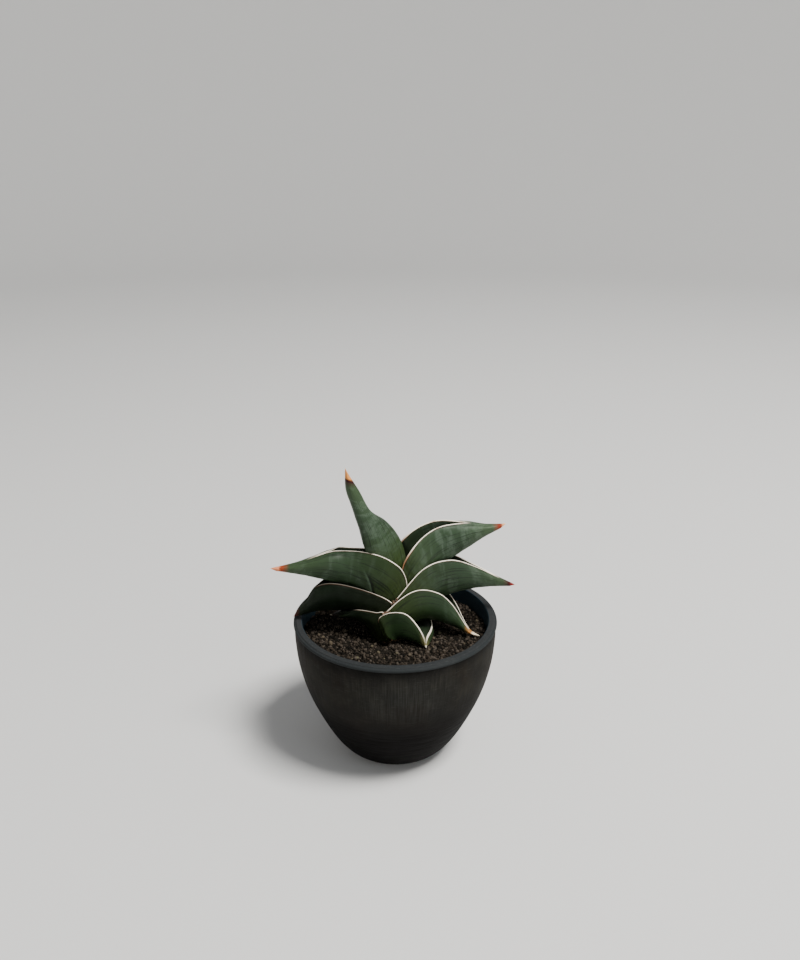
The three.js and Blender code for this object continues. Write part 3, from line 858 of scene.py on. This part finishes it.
def grain_spots(settings, chance):
    """Centres of the fine grains: a jittered triangular grid out to the pot's wall."""
    spacing = settings.spacing / MM
    level = settings.level / MM
    reach = inner_radius(level) - 0.9
    rows = int(reach / (spacing * ROW_STEP)) + 1
    for row in range(-rows, rows + 1):
        for column in range(-rows - 2, rows + 3):
            x = (column + 0.5 * (row % 2)) * spacing + chance.uniform(-JITTER, JITTER)
            y = row * spacing * ROW_STEP + chance.uniform(-JITTER, JITTER)
            if math.hypot(x, y) < reach:
                yield x, y, level - 0.35 + chance.uniform(-0.28, 0.28)


def grow_grain(shape, centre, radius, chance):
    """One rough grain's points: squashed, turned and dented."""
    sizes = (chance.uniform(0.8, 1.2), chance.uniform(0.75, 1.1), chance.uniform(0.6, 0.95))
    squash = Matrix.Diagonal(sizes)
    angle = chance.uniform(0, FULL_TURN)
    axis = (chance.uniform(-1, 1), chance.uniform(-1, 1), chance.uniform(0.2, 1))
    turn = Matrix.Rotation(angle, 3, axis)
    shift = Vector((chance.uniform(0, 90), chance.uniform(0, 90), 0))
    points = []
    for p in shape:
        dent = 1 + 0.45 * noise.noise(p * 1.3 + shift)
        points.append(turn @ (squash @ (p * (radius * dent))) + centre)
    return points


class PLANT_OT_grit(bpy.types.Operator):
    """Scatter the loose grains over the soil bed"""

    bl_idname = "plant.grit"
    bl_label = "Grit"

    def execute(self, context):
        settings = context.scene.plant_grit
        chance = random.Random(settings.seed)
        fine, fine_faces = grain_shape(2)
        grains = []
        for x, y, z in grain_spots(settings, chance):
            radius = chance.choice(FINE_RADII) * chance.uniform(0.9, 1.12)
            pale = chance.random() <= PALE_SHARE
            tone = chance.uniform(0.86, 1.0) if pale else min(chance.random() ** 1.2, 0.86)
            grains.append((Vector((x, y, z)), radius, tone))
        level = settings.level / MM
        for _ in range(settings.coarse_count):
            angle = chance.uniform(0, FULL_TURN)
            reach = COARSE_REACH * math.sqrt(chance.random())
            radius = chance.uniform(0.85, 1.25)
            tone = chance.uniform(0.55, 0.9) if chance.random() > 0.1 else chance.uniform(0.9, 1.0)
            centre = Vector((reach * math.cos(angle), reach * math.sin(angle), level + 0.45))
            grains.append((centre, radius, tone))
        for x, y, radius, tone in PEBBLES:
            grains.append((Vector((x, y, level + 0.6)), radius, tone))
        material = soil_material("Loose grit", True)
        grains.sort(key=lambda grain: grain[0].x)
        share = math.ceil(len(grains) / 4)
        for number, letter in enumerate("abcd"):
            verts, faces, tones = [], [], []
            for centre, radius, tone in grains[number * share : (number + 1) * share]:
                start = len(verts)
                verts += grow_grain(fine, centre, radius, chance)
                faces += [tuple(i + start for i in face) for face in fine_faces]
                tones += [tone] * len(fine)
            piece = new_piece("grit_" + letter, material, verts, faces)
            store(piece.data, "grain_tone", "FLOAT", tones)
        return {"FINISHED"}


# Leaves


# Where a leaf's section is widest, as part of its depth from the crest, and the number of
# points on each stretch of half a section
WIDEST = 0.35
BELLY_POINTS = 18
LIP_POINTS = 5
BEAD_POINTS = 8
CHANNEL_POINTS = 10

# Length over which a leaf draws in to its point, in mm, the tone below which a leaf is old
# and in painted shade, and gleams less, and the start of the leaves' random dents
POINT_RUN = 3.5
OLD_SHADED_TONE = 0.3
LEAF_SEED = 3


def in_right_rank(leaf):
    """Whether the leaf points to the right, seen from the front."""
    return math.cos(math.radians(leaf["azimuth"])) > 0


def azimuth_at(leaf, reach):
    """Direction of the leaf's midline, seen from above, in radians."""
    return math.radians(leaf["azimuth"] + leaf.get("turn", 0) * reach / leaf["crest"][-1][0])


def place_on_midline(leaf, reach, z):
    """A point over the midline, an arc that leaves the foot along the azimuth."""
    start, end = azimuth_at(leaf, 0), azimuth_at(leaf, reach)
    x, y = leaf["foot"]
    if "turn" not in leaf:
        return Vector((x + reach * math.cos(start), y + reach * math.sin(start), z))
    radius = reach / (end - start if end != start else 1)
    dx = radius * (math.sin(end) - math.sin(start))
    dy = radius * (math.cos(start) - math.cos(end))
    return Vector((x + dx, y + dy, z))


def half_section(half_width, depth, mouth, channel, fullness, margin):
    """Half of a leaf's section, keel to channel floor, as (across, down), and its edge's place."""
    points = []
    for i in range(BELLY_POINTS + 1):
        a = math.pi / 2 * i / BELLY_POINTS
        out = math.sin(a) ** (2 / fullness)
        down = max(math.cos(a), 0) ** (2 / fullness)
        points.append((half_width * out, depth * (WIDEST + (1 - WIDEST) * down)))
    bead = min(margin / 2, 0.42 * mouth)
    for i in range(1, LIP_POINTS + 1):
        a = math.pi / 2 * i / LIP_POINTS
        across = mouth + (half_width - mouth) * math.cos(a)
        down = bead + (depth * WIDEST - bead) * (1 - math.sin(a))
        points.append((across, down))
    edge = len(points)
    for i in range(1, BEAD_POINTS + 1):
        a = math.pi * i / BEAD_POINTS
        points.append((mouth - bead + bead * math.cos(a), bead - 1.15 * bead * math.sin(a)))
    inner = max(mouth - 2 * bead, 0.0)
    for i in range(1, CHANNEL_POINTS):
        a = math.pi / 2 * i / CHANNEL_POINTS
        points.append((inner * math.cos(a) ** 0.9, bead + max(channel - bead, 0.0) * math.sin(a)))
    return points, edge + BEAD_POINTS // 2 - 1


def leaf_station(leaf, t, margin):
    """One ring of the leaf at station t, with each point's place on the skin: how far round
    from keel to margin, and how far in mm from the margin's edge."""
    crest = spline_of_pairs(leaf["crest"], t)
    keel = spline_of_pairs(leaf["keel"], t)
    top = place_on_midline(leaf, *crest)
    down = place_on_midline(leaf, *keel) - top
    depth = max(down.length, 0.8)
    down.normalize()
    azimuth = azimuth_at(leaf, (crest[0] + keel[0]) / 2)
    side = -1 if in_right_rank(leaf) else 1
    near = Vector((-math.sin(azimuth), math.cos(azimuth), 0)) * side
    near = (near - down * near.dot(down)).normalized()
    roll = math.radians(spline(leaf["roll"], t))
    top = top + down * depth
    across = near * math.cos(roll) - down * math.sin(roll)
    down = down * math.cos(roll) + near * math.sin(roll)
    top = top - down * depth
    half_width = max(spline(leaf["half_width"], t), 0.4)
    mouth = max(min(spline(leaf["mouth"], t), 0.97) * half_width, 0.15)
    channel = max(spline(leaf["channel"], t) * depth, 0.05)
    droop = spline(leaf["droop"], t)
    half, apex = half_section(half_width, depth, mouth, channel, leaf.get("fullness", 2), margin)
    lengths = [0.0]
    for (x0, y0), (x1, y1) in zip(half, half[1:]):
        lengths.append(lengths[-1] + math.hypot(x1 - x0, y1 - y0))
    edge = lengths[apex]
    outline = [(x, y, s, s - edge, 1) for (x, y), s in zip(half, lengths)]
    outline.append((0, channel, lengths[-1], lengths[-1] - edge, 0))
    for (x, y), s in zip(half[:0:-1], lengths[:0:-1]):
        lowered = y + droop * (x / half_width) * max(1 - y / depth, 0)
        outline.append((-x, lowered, s, s - edge, -1))
    points = [top + across * x + down * y for x, y, *_ in outline]
    return points, [(s / max(edge, 0.1) * sign, gap) for _, _, s, gap, sign in outline]


def crease_offset(crease, to_tip, around):
    """Distance in mm from the fold's line, and the fold's strength, 0 to 1, at a point."""
    (tip_a, around_a), (tip_b, around_b), bow = crease
    part = (around_a - around) / (around_a - around_b)
    line = tip_a + (tip_b - tip_a) * part + bow * math.sin(math.pi * min(max(part, 0), 1))
    return to_tip - line, fade(-0.25, 0.15, part) * fade(1.25, 0.85, part)


def leaf_mesh(leaf, settings, chance):
    """The finer leaf, with its skin coordinates kept for the material."""
    rings = settings.stations
    margin = settings.margin / MM
    stations = [leaf_station(leaf, 1 - (1 - i / rings) ** 1.15, margin) for i in range(rings + 1)]
    middles = [sum(points, Vector()) / len(points) for points, _ in stations]
    to_tip = [0.0]
    for a, b in zip(middles[::-1], middles[-2::-1]):
        to_tip.append(to_tip[-1] + (a - b).length)
    to_tip.reverse()
    onward = middles[-1] - middles[-6]
    tip = max(stations[-1][0], key=lambda p: p.dot(onward))
    shift = noise_shift(chance)
    verts, skin_map, leaf_place, folds = [], [], [], []
    run = leaf["margin_run"]
    crease = leaf.get("crease")
    for i, (points, places) in enumerate(stations):
        t = i / rings
        white = fade(run + 0.04, run - 0.06, t)
        sharp = min(max(to_tip[i], 0.02) / POINT_RUN, 1) ** 0.6
        middle = middles[i] + (tip - middles[-1]) * (1 - min(to_tip[i] / POINT_RUN, 1))
        for p, (around, gap) in zip(points, places):
            out = (p - middles[i]) * sharp
            p = middle + out
            wave = noise.noise(p * 0.11 + shift) * 0.35 + noise.noise(p * 0.35 + shift) * 0.12
            calm = min(out.length / 6, 1) * fade(0.4, 2.5, abs(gap))
            off, reach = crease_offset(crease, to_tip[i], around) if crease else (0, 0)
            folds.append((off, reach, 0))
            if crease:
                raised = 0.5 * math.exp(-(((off + 1.2) / 1.1) ** 2))
                wave += reach * (raised - math.exp(-(((off - 0.8) / 1.3) ** 2)))
            verts.append(p + out.normalized() * (wave - 0.15) * calm if out.length > 0 else p)
            skin_map.append((to_tip[i], around, gap))
            leaf_place.append((t, white, 0))
    count = len(stations[0][0])
    flip = in_right_rank(leaf)
    faces = skin(len(stations), count, flip)
    last = rings * count
    for first, centre, turned in ((0, middles[0], not flip), (last, tip, flip)):
        faces += fan(len(verts), first, count, turned)
        verts.append(centre)
        skin_map.append((skin_map[first][0], 0.0, 3.0))
        leaf_place.append((leaf_place[first][0], 0.0, 0))
        folds.append((0, 0, 0))
    return verts, faces, {"skin_map": skin_map, "leaf_place": leaf_place, "fold": folds}


def leaf_skin_group():
    """The leaf's skin: lines, cross bands, bloom, white margin, dry spine and its band."""
    name = "Leaf skin"
    if name in bpy.data.node_groups:
        return bpy.data.node_groups[name]
    inputs = {**FINISH_SOCKETS, **dict.fromkeys(SHARED_COLOURS, COLOUR), "Seed": VALUE}
    tree, given, out = new_group(name, inputs, {"Color": COLOUR, "Roughness": VALUE, "Height": VALUE})
    to_tip, around, gap = parts(kept(tree, "skin_map"))
    along, white, _ = parts(kept(tree, "leaf_place"))
    off, reach, _ = parts(kept(tree, "fold"))
    seed = times(given["Seed"], 13.7)

    def streaks(x, y, scale=1, detail=3, rough=0.6):
        """Noise at a place across and along the skin, other on each leaf."""
        return noise_at(point(x, y, seed), scale, detail, rough)

    # Fine lines along the leaf
    wide = times(around, 36)
    thin = streaks(wide, times(to_tip, 0.035), rough=0.62)
    thinner = streaks(times(wide, 2.3), times(to_tip, 0.12), detail=2)
    lines = times(remap(thin, 0.5, 0.36), remap(thinner, 0.62, 0.4))
    lines = plus(lines, times(remap(thin, 0.43, 0.33), 0.5), clamp=True)

    # Pale cross bands, stronger towards the tip
    bent = times(streaks(times(around, 3.2), times(to_tip, 0.2), detail=2, rough=0.5), 5)
    at_band = plus(to_tip, bent)
    bands = streaks(times(around, 1.1), times(at_band, 0.19), detail=2.5, rough=0.55)
    flecks = streaks(times(around, 6), times(at_band, 0.45))
    pale = times(remap(bands, 0.45, 0.6), remap(flecks, 0.25, 0.6))
    pale = times(pale, remap(along, 0.18, 0.55, 0.25, 1))
    bloom = plus(times(pale, 0.75), times(remap(along, 0.1, 0.7), 0.45))
    bloom = times(bloom, given["Bloom amount"], clamp=True)

    # Greens from foot to tip, with the bloom and the lines
    colour = mix_colour(remap(along, 0.05, 0.5), given["Foot"], given["Blade"])
    colour = mix_colour(bloom, colour, given["Bloom"])
    colour = mix_colour(remap(along, 0.5, 0.85, 0, 0.4), colour, given["Fresh"])
    paler = times(times(pale, given["Bloom amount"]), 0.22)
    colour = mix_colour(paler, colour, "62745A")
    colour = mix_colour(times(lines, 0.75), colour, given["Line"])

    # Painted shade inside the channel
    colour = mix_colour(times(remap(gap, 0.5, 1.6), 0.5), colour, "1E241D")

    # A fold pressed into the skin, with painted shade on one side of its line and a painted highlight on
    # the other
    dark = times(times(remap(off, -0.1, 0.15), remap(off, 3, 0.3)), reach)
    fold_highlight = times(times(remap(off, -2.2, -0.5), remap(off, 0.1, -0.2)), reach)
    colour = mix_colour(times(dark, 0.75), colour, "0A1209")
    colour = mix_colour(times(fold_highlight, 0.5), colour, given["Bloom"])
    # The tone darkens the whole leaf: the old leaves' darker green, and painted shade on the low leaves
    # that the leaves above shade
    colour = mix_colour(given["Tone"], "000000", colour)

    # White margin with a thin red-brown line below it, brown where leaves cross at the foot
    wobble = times(minus(streaks(0, times(to_tip, 0.5)), 0.5), 0.35)
    half = plus(times(given["Margin width"], 0.5), wobble)
    above = minus(along, given["Margin stain"])
    at_foot = remap(above, 0.03, -0.06)
    half = plus(half, times(at_foot, 0.5))
    from_edge = math_node("ABSOLUTE", gap)
    outside = minus(from_edge, half)
    brown = times(remap(outside, 0.6, 0.25), white)
    colour = mix_colour(times(brown, 0.8), colour, "3A1C10")
    stain = streaks(0, times(to_tip, 0.13))
    ivory = mix_colour(times(remap(stain, 0.56, 0.74), 0.6), given["Margin"], "A8764E")
    foot_stain = times(at_foot, remap(from_edge, 0.5, 1, 0.1, 0.9))
    ivory = mix_colour(foot_stain, ivory, "9A5A2A")
    ivory = mix_colour(times(remap(above, -0.01, -0.1), 0.8), ivory, "96602F")
    # Painted shade: on the low leaves the margin darkens towards the tip, where the leaves above shade it
    margin_shade = times(remap(along, 0.12, 0.36), minus(1, given["Margin tone"]))
    ivory = mix_colour(margin_shade, ivory, "1E1B16")
    bead = times(remap(outside, 0.16, -0.06), white)
    colour = mix_colour(bead, colour, ivory)

    # Dry spine, with a darker band where it meets the green
    ragged = times(streaks(times(around, 5), to_tip, scale=0.6), 2.4)
    from_tip = plus(minus(to_tip, 1.2), ragged)
    start = minus(from_tip, given["Spine length"])
    colour = mix_colour(times(remap(start, 4.2, 0.6), 0.6), colour, given["Band"])
    colour = mix_colour(remap(start, 0.9, 0.1), colour, given["Band"])
    colour = mix_colour(remap(start, -0.9, -2.6), colour, given["Spine"])
    point_colour = mix_colour(0.6, given["Spine"], "FFF4DC")
    colour = mix_colour(remap(from_tip, 1.6, 0.6), colour, point_colour)

    dull = plus(times(bloom, 0.16), times(bead, 0.12))
    dull = plus(dull, times(remap(start, 1, -1), 0.15))
    relief = minus(times(flecks, 0.35), times(lines, 0.8))
    relief = plus(plus(relief, times(thin, 0.5)), times(bead, 0.3))
    set_inputs(out, {"Color": colour, "Roughness": plus(dull, 0.47), "Height": relief})
    return tree


def leaf_material(name, settings, number):
    """One leaf's own mix of the shared skin, under a little dust."""
    material, tree, shader = new_material(name.replace("_", " ").capitalize())
    inputs = dict(zip(FINISH_SOCKETS, LEAF_FINISH[name]))
    inputs["Margin width"] *= settings.margin / MM
    inputs["Seed"] = float(number)
    for label in SHARED_COLOURS:
        inputs[label] = getattr(settings, label.lower() + "_colour")
    surface = add_node(tree, "ShaderNodeGroup", inputs, node_tree=leaf_skin_group()).outputs
    tone = inputs["Tone"]
    dust = {"Color": surface["Color"], "Dust": "6A6C60", "Amount": 0.07 * max(tone, 0.25)}
    dusty = add_node(tree, "ShaderNodeGroup", dust, node_tree=dust_group())
    gloss = 0.17 if tone > OLD_SHADED_TONE else 0.09
    dress(shader, dusty.outputs["Color"], surface["Roughness"], gloss, surface["Height"], 0.07, 0.8)
    set_inputs(shader, {"Coat Weight": 0.03, "Coat Roughness": 0.35})
    return material


class PLANT_OT_leaves(bpy.types.Operator):
    """Make the fan of channelled leaves with their white margins and dry spines"""

    bl_idname = "plant.leaves"
    bl_label = "Leaves"

    def execute(self, context):
        settings = context.scene.plant_leaves
        chance = random.Random(LEAF_SEED)
        for number, (name, leaf) in enumerate(LEAVES.items()):
            columns = dict(zip(STATION_COLUMNS, zip(*leaf["stations"])))
            verts, faces, places = leaf_mesh({**leaf, **columns}, settings, chance)
            material = leaf_material(name, settings, number)
            piece = new_piece(name.replace("leaf", "blade"), material, verts, faces)
            for label, values in places.items():
                store(piece.data, label, "FLOAT_VECTOR", values)
            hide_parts(name)
        return {"FINISHED"}


# Dry scraps of margin where the leaves part: centre, direction, facing, half length and
# half width, in mm
SCRAPS = [
    ((-0.5, -14.5, 103.0), (0.59, -0.26, 0.76), (-0.45, -0.88, 0.15), 2.6, 1.1),
    ((0.9, -14.6, 104.9), (0.2, 0.1, 0.9), (-0.5, -0.85, 0.1), 1.3, 0.7),
    ((-4.7, -18.3, 98.1), (0.9, -0.2, 0.35), (-0.2, -0.8, 0.55), 2.6, 1.2),
    ((-6.2, -18.1, 97.4), (0.7, 0.1, -0.7), (0.1, -0.8, 0.6), 1.6, 0.8),
]
SCRAP_RINGS = 22
SCRAP_POINTS = 16
SCRAP_SEED = 11


def scrap_mesh(centre, along, facing, half_length, half_width, chance):
    """One curled and torn flake: rings of points along it, closed at both ends."""
    along = Vector(along).normalized()
    facing = Vector(facing)
    facing = (facing - along * facing.dot(along)).normalized()
    side = along.cross(facing)
    shift = noise_shift(chance)
    verts = []
    for i in range(SCRAP_RINGS):
        u = -1 + 2 * (i + 0.5) / SCRAP_RINGS
        for j in range(SCRAP_POINTS):
            angle = 2 * math.pi * j / SCRAP_POINTS
            torn = 1 + 0.9 * noise.noise(shift + Vector((u * 4, math.copysign(3, math.cos(angle)), 0)))
            width = half_width * (1 - u * u) ** 0.4 * torn * math.cos(angle)
            lift = 0.35 * (width / half_width) ** 2 + 0.5 * noise.noise(shift + Vector((u * 3, width, 9)))
            flat = along * (u * half_length) + side * width
            verts.append(Vector(centre) + flat + facing * (lift * half_width + 0.12 * math.sin(angle)))
    faces = skin(SCRAP_RINGS, SCRAP_POINTS)
    faces.append(tuple(range(SCRAP_POINTS))[::-1])
    last = (SCRAP_RINGS - 1) * SCRAP_POINTS
    faces.append(tuple(range(last, last + SCRAP_POINTS)))
    return verts, faces


def scrap_material():
    """Dry papery brown with darker fibres."""
    material, tree, shader = new_material("Dry scraps")
    fibres = noise_at(place_mm(tree), 1.6, 3, 0.6)
    colour = mix_colour(remap(fibres, 0.38, 0.62), "33231C", "8A705E")
    dress(shader, colour, 0.8, 0.15, fibres, 0.15, 0.8)
    return material


class PLANT_OT_scraps(bpy.types.Operator):
    """Make the dry scraps of margin where the lower leaves part"""

    bl_idname = "plant.scraps"
    bl_label = "Dry scraps"

    def execute(self, context):
        chance = random.Random(SCRAP_SEED)
        verts, faces = [], []
        for scrap in SCRAPS:
            start = len(verts)
            more_verts, more_faces = scrap_mesh(*scrap, chance)
            verts += more_verts
            faces += [tuple(i + start for i in face) for face in more_faces]
        new_piece("dry_scraps", scrap_material(), verts, faces)
        return {"FINISHED"}


# Stage


# The camera's place in metres, its angle below the level in degrees, and its focal length
# in pixels of a view 960 high
CAMERA_PLACE = (0.0028, -0.5065, 0.3628)
CAMERA_TILT = 20.52
FOCAL_PIXELS = 957
VIEW_HEIGHT = 960
SENSOR = 36

FLOOR_SEGMENTS = 96
LAMP_SIZE = 0.8
LAMP_TARGET = Vector((0, 0, 0.1))


def soft_light(name, place, power, colour):
    """A large square lamp that faces the middle of the object."""
    lamp = bpy.data.lights.new(name, "AREA")
    lamp.shape = "SQUARE"
    lamp.size = LAMP_SIZE
    lamp.energy = power
    lamp.color = colour
    holder = in_scene(name, lamp)
    holder.location = place
    holder.rotation_euler = (LAMP_TARGET - Vector(place)).to_track_quat("-Z", "Y").to_euler()


class PLANT_OT_stage(bpy.types.Operator):
    """Set the pale floor, the soft lights and the camera"""

    bl_idname = "plant.stage"
    bl_label = "Stage"

    def execute(self, context):
        settings = context.scene.plant_stage
        profile = [(0.5 * i, 0) for i in range(1, 5)]
        profile += [(2 + math.sin(a), 1 - math.cos(a)) for a in (math.pi / 24 * i for i in range(1, 13))]
        profile += [(3, 1.5), (3, 2)]
        verts = [v for r, z in profile for v in circle(r, z, FLOOR_SEGMENTS)] + [(0, 0, 0)]
        faces = skin(len(profile), FLOOR_SEGMENTS, flip=True) + fan(len(verts) - 1, 0, FLOOR_SEGMENTS)
        mesh = bpy.data.meshes.new("floor")
        mesh.from_pydata(verts, [], faces)
        mesh.shade_smooth()
        material, _, shader = new_material("Pale floor")
        set_inputs(shader, {"Base Color": settings.floor_colour, "Roughness": 0.9})
        mesh.materials.append(material)
        in_scene("floor", mesh)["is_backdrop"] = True

        world = bpy.data.worlds.new("Studio")
        world.use_nodes = True
        set_inputs(world.node_tree.nodes["Background"], {0: (0.93, 0.95, 1.0, 1), 1: 0.3})
        context.scene.world = world
        soft_light("Key", (0.95, -0.6, 2.35), settings.key_power, (1.0, 0.98, 0.95))
        soft_light("Fill", (1.1, -0.9, 0.6), settings.fill_power, (0.92, 0.96, 1.0))

        camera = bpy.data.cameras.new("Camera")
        camera.sensor_width = SENSOR
        camera.lens = FOCAL_PIXELS / VIEW_HEIGHT * SENSOR
        camera.clip_start = 0.01
        eye = in_scene("Camera", camera)
        eye.location = CAMERA_PLACE
        eye.rotation_euler = (math.radians(90 - CAMERA_TILT), 0, 0)
        context.scene.camera = eye
        return {"FINISHED"}


# Panel and registration


STEPS = (
    PLANT_OT_pot,
    PLANT_OT_rootstock,
    PLANT_OT_soil_bed,
    PLANT_OT_grit,
    PLANT_OT_leaves,
    PLANT_OT_scraps,
    PLANT_OT_stage,
)


class PLANT_PT_panel(bpy.types.Panel):
    """Lists the steps that build the potted plant"""

    bl_idname = "PLANT_PT_panel"
    bl_label = "Potted Sansevieria"
    bl_space_type = "VIEW_3D"
    bl_region_type = "UI"
    bl_category = "Plant"

    def draw(self, context):
        for step in STEPS:
            self.layout.operator(step.bl_idname)


SETTINGS = {
    "plant_pot": PotSettings,
    "plant_grit": GritSettings,
    "plant_leaves": LeafSettings,
    "plant_stage": StageSettings,
}


def register():
    for kind in (*SETTINGS.values(), *STEPS, PLANT_PT_panel):
        bpy.utils.register_class(kind)
    for name, kind in SETTINGS.items():
        setattr(bpy.types.Scene, name, PointerProperty(type=kind))


def unregister():
    for name in SETTINGS:
        delattr(bpy.types.Scene, name)
    for kind in reversed((*SETTINGS.values(), *STEPS, PLANT_PT_panel)):
        bpy.utils.unregister_class(kind)


def main():
    register()
    bpy.ops.plant.pot()
    bpy.ops.plant.rootstock()
    bpy.ops.plant.soil_bed()
    bpy.ops.plant.grit()
    bpy.ops.plant.leaves()
    bpy.ops.plant.scraps()
    bpy.ops.plant.stage()
    boxes = {"cad": CAD_BOX, "visual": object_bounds()}
    plain = {name: [list(map(float, corner)) for corner in box] for name, box in boxes.items()}


if __name__ == "__main__":
    main()
